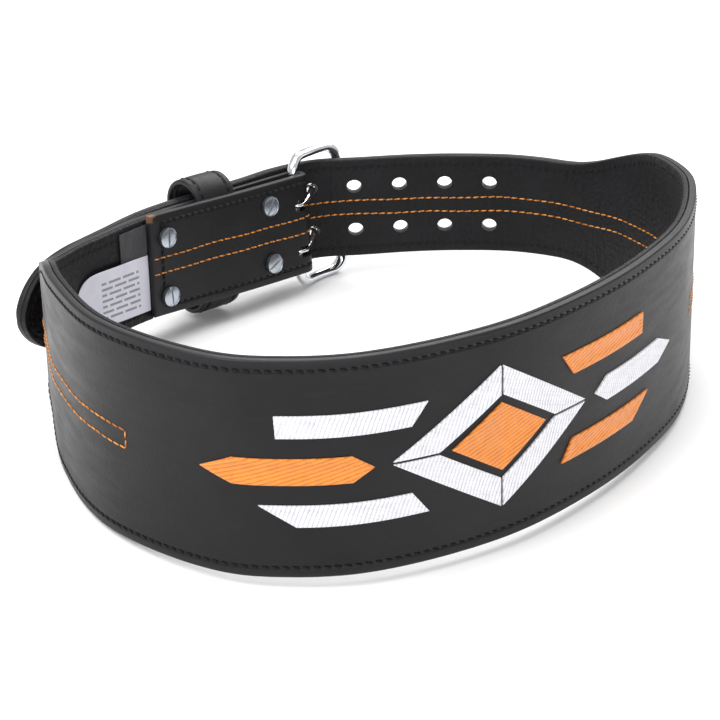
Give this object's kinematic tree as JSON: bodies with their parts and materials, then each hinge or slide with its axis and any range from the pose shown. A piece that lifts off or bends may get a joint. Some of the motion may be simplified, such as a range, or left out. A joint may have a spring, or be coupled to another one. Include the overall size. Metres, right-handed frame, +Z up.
{
  "type": "weightlifting belt",
  "caption": "Leather weightlifting belt, fastened in a loop: wide at the front, with tapering straps, a two-prong roller buckle, a keeper and prong holes at the back.",
  "frame": {"origin": "centre of the bounding box, at the floor", "axes": "+Z up as the belt rests, -Y towards the wide front, +Y towards the buckle at the back, +X to the viewer's right"},
  "size_m": [0.3392, 0.3578, 0.1062],
  "materials": {
    "outer_leather": "smooth semi-matt black",
    "lining_leather": "grained matt black",
    "chrome": "polished",
    "nickel": "nickel plated, satin",
    "white_satin": "woven satin",
    "black_tape": "woven matt"
  },
  "bodies": {
    "root": {"outer_leather": "outer_leather", "lining_leather": "lining_leather", "keeper_loop": "outer_leather", "buckle_frame": "chrome", "buckle_roller": "chrome", "prong_upper": "chrome", "prong_lower": "chrome", "screw_upper_right": "nickel", "post_upper_right": "nickel", "screw_lower_right": "nickel", "post_lower_right": "nickel", "screw_upper_left": "nickel", "post_upper_left": "nickel", "screw_lower_left": "nickel", "post_lower_left": "nickel", "care_label": "white_satin", "size_label": "black_tape"}
  },
  "joints": []
}
